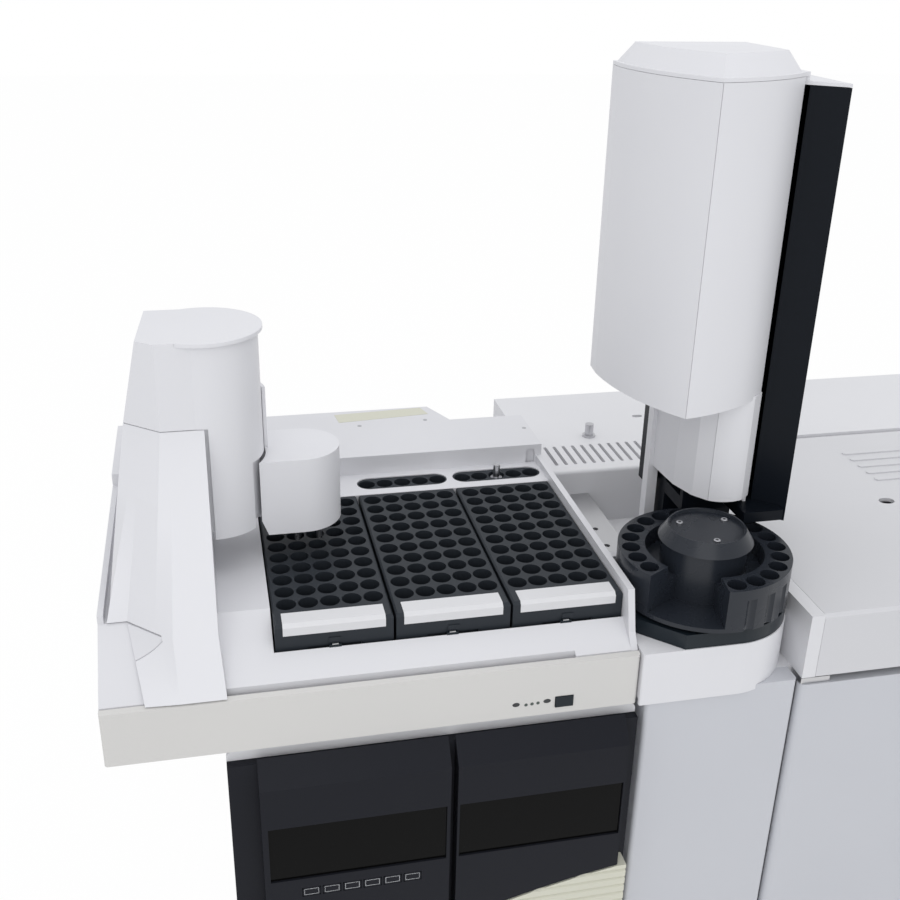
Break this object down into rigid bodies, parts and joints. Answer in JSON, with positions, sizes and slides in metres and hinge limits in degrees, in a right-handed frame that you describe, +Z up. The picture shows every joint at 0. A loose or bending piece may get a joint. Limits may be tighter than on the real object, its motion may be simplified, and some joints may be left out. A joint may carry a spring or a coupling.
{
  "type": "coupled gas chromatograph and mass spectrometer",
  "caption": "Bench gas chromatograph joined to a mass spectrometer, with a gantry-served sample tray above it and a turret injector tower on the oven's left bay.",
  "frame": {"origin": "middle of the machine's footprint, on the bench top", "axes": "+X to the right seen from the front, +Y to the back, +Z up"},
  "size_m": [1.039, 0.64, 0.962],
  "materials": {
    "white_plastic": "satin",
    "grey_front": "satin",
    "dark_plastic": "satin",
    "body_paint": "satin",
    "steel": "brushed",
    "bezel_plastic": "satin",
    "rack_plastic": "satin",
    "label_white": "satin",
    "window_black": "gloss",
    "turret_plastic": "semi-gloss",
    "ivory_plastic": "satin",
    "ms_panel": "semi-gloss",
    "rubber": "matte",
    "copper_resin": "satin",
    "syringe_glass": "clear"
  },
  "bodies": {
    "machine": {"analyzer_cover": "ms_panel", "column_coil": "copper_resin", "column_hanger": "steel", "display_panel": "ms_panel", "flame_detector": "steel", "front_inlet": "steel", "gc_housing": "body_paint", "gc_kick_panel": "grey_front", "gc_left_panel": "grey_front", "gc_right_panel": "grey_front", "injector_shroud": "white_plastic", "levelling_feet": "rubber", "lid_hinge_pins": "steel", "ms_front_frame": "ms_panel", "ms_housing": "body_paint", "oven_door_hinges": "steel", "oven_liner": "steel", "panel_windows": "window_black", "rack_labels": "label_white", "rear_inlet": "steel", "ribbed_panel": "ivory_plastic", "thumb_screw": "dark_plastic", "tower_cap": "white_plastic", "tower_chassis": "dark_plastic", "tower_side_cover": "white_plastic", "transfer_line": "steel", "tray_base": "white_plastic", "tray_bezel": "bezel_plastic", "tray_bracket": "steel", "tray_pads": "rubber", "tray_pin": "dark_plastic", "turret_base": "dark_plastic", "vial_rack_left": "rack_plastic", "vial_rack_middle": "rack_plastic", "vial_rack_right": "rack_plastic", "well_strips": "white_plastic"},
    "oven_door": {"oven_door": "grey_front"},
    "gc_lid": {"gc_lid": "body_paint"},
    "oven_fan": {"oven_fan": "steel"},
    "gantry": {"gantry_column": "white_plastic", "gantry_arm": "white_plastic", "gantry_rear_arm": "white_plastic"},
    "arm_drum": {"arm_drum": "dark_plastic"},
    "gripper_head": {"gripper_head": "white_plastic"},
    "gripper_jaw_left": {"gripper_jaw_left": "steel"},
    "gripper_jaw_right": {"gripper_jaw_right": "steel"},
    "turret": {"turret": "turret_plastic"},
    "tower_door": {"tower_door": "white_plastic"},
    "syringe_carriage": {"syringe_carriage": "dark_plastic", "syringe_barrel": "syringe_glass"},
    "syringe_plunger": {"syringe_plunger": "steel"},
    "tray_button": {"tray_button": "dark_plastic"},
    "menu_key_1": {"menu_key_1": "label_white"},
    "menu_key_2": {"menu_key_2": "label_white"},
    "menu_key_3": {"menu_key_3": "label_white"},
    "menu_key_4": {"menu_key_4": "label_white"},
    "menu_key_5": {"menu_key_5": "label_white"},
    "menu_key_6": {"menu_key_6": "label_white"}
  },
  "joints": [
    {"name": "oven_door_hinge", "type": "hinge", "parent": "machine", "child": "oven_door", "pos_m": [0.0825, -0.297, 0.2495], "axis": [0, 0, -1], "range_deg": [0, 95]},
    {"name": "gc_lid_hinge", "type": "hinge", "parent": "machine", "child": "gc_lid", "pos_m": [0.304, 0.053, 0.499], "axis": [-1, 0, 0], "range_deg": [0, 75]},
    {"name": "oven_fan_spin", "type": "hinge", "parent": "machine", "child": "oven_fan", "pos_m": [0.227, -0.056, 0.267], "axis": [0, 1, 0], "continuous": true},
    {"name": "gantry_slide", "type": "slide", "parent": "machine", "child": "gantry", "axis": [1, 0, 0], "range_m": [0, 0.236]},
    {"name": "arm_turn", "type": "hinge", "parent": "gantry", "child": "arm_drum", "pos_m": [-0.4225, -0.134, 0.63], "axis": [0, 0, 1], "range_deg": [-30, 36]},
    {"name": "head_lift", "type": "slide", "parent": "arm_drum", "child": "gripper_head", "axis": [0, 0, 1], "range_m": [0, 0.05]},
    {"name": "jaw_left_slide", "type": "slide", "parent": "gripper_head", "child": "gripper_jaw_left", "axis": [1, 0, 0], "range_m": [0, 0.003]},
    {"name": "jaw_right_slide", "type": "slide", "parent": "gripper_head", "child": "gripper_jaw_right", "axis": [-1, 0, 0], "range_m": [0, 0.003]},
    {"name": "turret_spin", "type": "hinge", "parent": "machine", "child": "turret", "pos_m": [-0.0015, -0.24, 0.51], "axis": [0, 0, 1], "continuous": true},
    {"name": "tower_door_hinge", "type": "hinge", "parent": "machine", "child": "tower_door", "pos_m": [0.054, -0.196, 0.675], "axis": [0, 0, 1], "range_deg": [0, 90]},
    {"name": "syringe_drive", "type": "slide", "parent": "machine", "child": "syringe_carriage", "axis": [0, 0, -1], "range_m": [0, 0.045]},
    {"name": "plunger_drive", "type": "slide", "parent": "syringe_carriage", "child": "syringe_plunger", "axis": [0, 0, 1], "range_m": [0, 0.038]},
    {"name": "menu_key_1_press", "type": "slide", "parent": "machine", "child": "menu_key_1", "axis": [0, 1, 0], "range_m": [0, 0.002], "stiffness_N_per_m": 400},
    {"name": "menu_key_2_press", "type": "slide", "parent": "machine", "child": "menu_key_2", "axis": [0, 1, 0], "range_m": [0, 0.002], "stiffness_N_per_m": 400},
    {"name": "menu_key_3_press", "type": "slide", "parent": "machine", "child": "menu_key_3", "axis": [0, 1, 0], "range_m": [0, 0.002], "stiffness_N_per_m": 400},
    {"name": "menu_key_4_press", "type": "slide", "parent": "machine", "child": "menu_key_4", "axis": [0, 1, 0], "range_m": [0, 0.002], "stiffness_N_per_m": 400},
    {"name": "menu_key_5_press", "type": "slide", "parent": "machine", "child": "menu_key_5", "axis": [0, 1, 0], "range_m": [0, 0.002], "stiffness_N_per_m": 400},
    {"name": "menu_key_6_press", "type": "slide", "parent": "machine", "child": "menu_key_6", "axis": [0, 1, 0], "range_m": [0, 0.002], "stiffness_N_per_m": 400},
    {"name": "tray_button_press", "type": "slide", "parent": "machine", "child": "tray_button", "axis": [0, 1, 0], "range_m": [0, 0.002], "stiffness_N_per_m": 400}
  ],
  "couplings": [
    {"joint": "jaw_right_slide", "follows": "jaw_left_slide", "ratio": 1}
  ]
}
